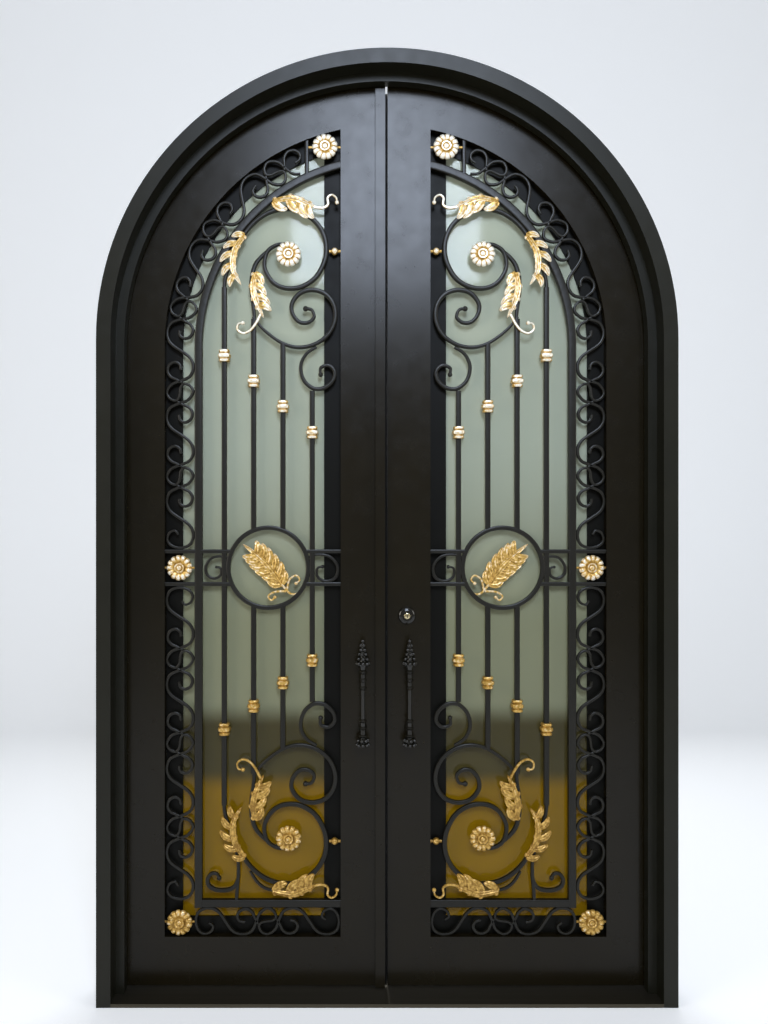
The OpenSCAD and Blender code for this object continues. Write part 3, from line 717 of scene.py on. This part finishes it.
def acanthus(mesh, rib, left_reach, right_reach, lobes, layer_y=GRILLE_Y):
    """A leaf of lobes on both sides of a midrib, with one at its tip."""
    line = smooth(rib, 12)
    last = len(line) - 1
    for number in range(lobes):
        share = 0.04 + 0.72 * number / (lobes - 1)
        i = round(share * last)
        a, b = line[max(i - 1, 0)], line[min(i + 1, last)]
        run = math.dist(a, b)
        du, dz = (b[0] - a[0]) / run, (b[1] - a[1]) / run
        u, z = line[i]
        swell = 0.62 + 0.38 * math.sin(math.pi * (share + 0.1))
        for side_sign, reach in ((-1, left_reach), (1, right_reach)):
            far = reach * swell
            path = [(u + du * ahead * far - side_sign * dz * out * far,
                     z + dz * ahead * far + side_sign * du * out * far)
                    for ahead, out in ((-0.1, 0.0), (0.08, 0.35), (0.3, 0.68), (0.65, 0.92),
                                       (1.0, 1.06))]
            lobe(mesh, path, min(max(0.6 * reach, 12), 27), 3.5 + 0.35 * number, layer_y)
    lobe(mesh, [line[0], line[last // 3], line[2 * last // 3], line[last]], 21, 5.5, layer_y)


def gilt_curl(mesh, path, wide, y, bead):
    """A thin gilt stem with a bead at its end."""
    start = len(mesh.verts)
    line = smooth(path, 6)
    last = len(line) - 1
    widths = [wide * (1.1 - 0.45 * i / last) for i in range(last + 1)]
    bar(mesh, line, widths, wide, y, sides=10, power=0.9)
    ball = [(bead * math.sin(math.radians(t)), -bead * math.cos(math.radians(t)))
            for t in range(8, 173, 16)]
    turned(mesh, (line[-1][0], y, line[-1][1]), ball, sides=14)
    mark_ridges(mesh, start, lambda co: 0.7 if co.y < y - wide * 0.2 else 0.3)


for side in SIDES:
    mesh = bmesh.new()
    for turn in (list, upside_down):
        for rib, left_reach, right_reach, lobes in LEAVES:
            reaches = (left_reach, right_reach) if turn is list else (right_reach, left_reach)
            acanthus(mesh, turn(rib), *reaches, lobes)
        for path in TIP_CURLS:
            gilt_curl(mesh, turn(path), 9, GRILLE_Y - 4, 7)
    put_up(f"{side}_gilt_acanthus", mesh, side, gold, "gilded_iron", "leaves")

# In the ring stands a plain leaf spray on a curled stem. It is welded to the ring by its stem's foot.
SPRAY_STEM = [(-112, -62), (-98, -84), (-74, -86), (-50, -62), (-30, -38)]
SPRAY_LEAF = [(-44, -56), (-22, -22), (8, 12), (40, 44), (84, 78)]
SPRAY_CURLS = [[(-62, -76), (-70, -40), (-92, -26), (-104, -40), (-92, -52)],
               [(-58, -78), (-22, -80), (0, -94), (-10, -108), (-22, -98)]]


def about_ring(path):
    return [(RING_U + u, RING_Z + z) for u, z in path]


for side in SIDES:
    mesh = bmesh.new()
    gilt_curl(mesh, about_ring(SPRAY_STEM)[::-1], 9, GRILLE_Y + 8, 1)
    acanthus(mesh, about_ring(SPRAY_LEAF), 40, 40, 6, GRILLE_Y + 10)
    for path in SPRAY_CURLS:
        gilt_curl(mesh, about_ring(path), 8, GRILLE_Y + 8, 6)
    put_up(f"{side}_gilt_spray", mesh, side, gold, "gilded_iron", "medallion_sprig")

# The pull handles are cast in bronze and painted with the door. A slim grip runs between two
# clusters of beads, like bunches of grapes, with turned rings between, and stands on two posts.
HANDLE_U, HANDLE_Y, HANDLE_Z = 76, -16, 813
HANDLE_PROFILE = [(3, 0), (11, 1), (13, 6), (12, 20), (9, 27), (9, 31), (13, 33), (15, 36),
                  (13, 39), (9, 42), (8.5, 56), (12, 59), (14, 62), (12, 65), (8.5, 68),
                  (8.5, 79), (12, 82), (14, 85), (12, 88), (7, 92), (6.6, 138), (7, 185),
                  (12, 189), (14, 192), (12, 195), (8.5, 199), (8.5, 211), (12, 215), (14, 218),
                  (12, 221), (8.5, 225), (8.5, 237), (13, 241), (15, 244), (13, 247), (9, 251),
                  (9, 258), (13, 266), (12, 280), (9, 298), (6, 318), (3.5, 336), (2, 344)]
# Rows of beads: (height above the foot, radius of the row, number of beads)
BEAD_ROWS = [(8, 18.5, 8), (22, 16, 7), (272, 19, 8), (287, 15, 6), (302, 11, 5), (316, 8, 4),
             (330, 5, 3), (344, 0.1, 1)]
BEAD_R = 6.8

cluster = bpy.data.node_groups.new("bead_cluster", "GeometryNodeTree")
face = cluster.interface
face.new_socket("Geometry", in_out="INPUT", socket_type="NodeSocketGeometry")
for label in ("Bead radius",):
    face.new_socket(label, in_out="INPUT", socket_type="NodeSocketFloat")
face.new_socket("Finish", in_out="INPUT", socket_type="NodeSocketMaterial")
face.new_socket("Geometry", in_out="OUTPUT", socket_type="NodeSocketGeometry")
given = add(cluster, "NodeGroupInput").outputs
bead = add(cluster, "GeometryNodeMeshUVSphere", {"Segments": 12, "Rings": 8,
           "Radius": given["Bead radius"]})
beads = add(cluster, "GeometryNodeInstanceOnPoints", {"Points": given["Geometry"],
            "Instance": bead.outputs["Mesh"]})
real = add(cluster, "GeometryNodeRealizeInstances", {"Geometry": beads.outputs[0]})
even = add(cluster, "GeometryNodeSetShadeSmooth", {"Geometry": real.outputs[0]})
coated = add(cluster, "GeometryNodeSetMaterial", {"Geometry": even.outputs[0],
             "Material": given["Finish"]})
add(cluster, "NodeGroupOutput", {"Geometry": coated.outputs[0]})

handle_paint = bronze_paint("bronze_painted_casting", "#0c0b06", "#191710", 0.15, 9, 0.06,
                            shine=0.55)


def bead_cluster(name, points, side):
    """Beads on the given points, in millimetres, made a plain mesh that rides on its leaf."""
    data = bpy.data.meshes.new(name)
    data.from_pydata([(SIDES[side] * x / 1000, y / 1000, z / 1000) for x, y, z in points], [], [])
    source = bpy.data.objects.new(name + "_points", data)
    bpy.context.collection.objects.link(source)
    nodes = source.modifiers.new("beads", "NODES")
    nodes.node_group = cluster
    sockets = {item.name: item.identifier for item in face.items_tree if item.in_out == "INPUT"}
    nodes[sockets["Bead radius"]] = BEAD_R / 1000
    nodes[sockets["Finish"]] = handle_paint
    result = source.evaluated_get(bpy.context.evaluated_depsgraph_get())
    piece = bpy.data.objects.new(name, bpy.data.meshes.new_from_object(result))
    bpy.context.collection.objects.link(piece)
    bpy.data.objects.remove(source)
    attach(piece, f"{side}_door")


for side in SIDES:
    mesh = bmesh.new()
    turned(mesh, (HANDLE_U, HANDLE_Y, HANDLE_Z), HANDLE_PROFILE, sides=28)
    for z in (57, 265):
        post = [(7, 4), (7, 24), (8, 30), (12, 36), (15, 39), (15, 42)]
        turned(mesh, (HANDLE_U, HANDLE_Y, HANDLE_Z + z), post, axis="Y", sides=24)
    put_up(f"{side}_pull_grip", mesh, side, handle_paint, "bronze_hardware", "pull_handle")
    points = []
    for row, (z, radius, count) in enumerate(BEAD_ROWS):
        for k in range(count):
            angle = 2 * math.pi * (k + 0.5 * (row % 2)) / count
            points.append((HANDLE_U + radius * math.cos(angle), HANDLE_Y + radius * math.sin(angle),
                           HANDLE_Z + z))
    bead_cluster(f"{side}_pull_beads", points, side)

# The deadbolt is on the right leaf: a turned rose with a stepped edge around a raised cylinder and
# its keyway.
DEADBOLT = (70, 26, 1236)
mesh = bmesh.new()
rose = [(29, 0), (29, -3), (27.5, -6), (24, -8.5), (21.5, -9.5), (20.5, -12), (17, -13),
        (17, -18.5), (15.5, -20), (11.5, -20), (11, -18.6), (3, -18.6)]
turned(mesh, DEADBOLT, rose, axis="Y", sides=40)
put_up("right_deadbolt_rose", mesh, "right", handle_paint, "bronze_hardware", "deadbolt")
# The key plug is turned brass, bright from use.
brass, tree, shader, place = new_material("worn_brass_plug", {"Metallic": 1.0, "Roughness": 0.22})
wear_and_sheen = add(tree, "ShaderNodeTexNoise", {"Vector": place, "Scale": 1 / 0.004, "Detail": 2.0})
tone = add(tree, "ShaderNodeMix", {0: wear_and_sheen.outputs["Fac"], 6: linear("#b9a36a"),
           7: linear("#e6dcb8")}, data_type="RGBA")
tree.links.new(tone.outputs[2], shader.inputs["Base Color"])
mesh = bmesh.new()
plug = [(9.5, -18.4), (9.5, -19.4), (8.6, -20), (2, -20)]
turned(mesh, DEADBOLT, plug, axis="Y", sides=32)
put_up("right_deadbolt_plug", mesh, "right", brass, "bronze_hardware")
# The keyway is a near-black strip on the plug's face: painted shade where the slot is dark inside.
keyway = bronze_paint("keyway_painted_shade", "#050505", "#0a0a09", 0.6, 9, 0.1)
mesh = bmesh.new()
bar(mesh, [(70, 1229.5), (70, 1243)], 2.6, 1.2, 6.0, sides=8, power=0.4)
put_up("right_keyway", mesh, "right", keyway, "bronze_hardware")

# The hinges are welded barrels on the inner face, painted with the door.
dress(handle_paint, "jamb_hinges", "left_leaf_hinges", "right_leaf_hinges")
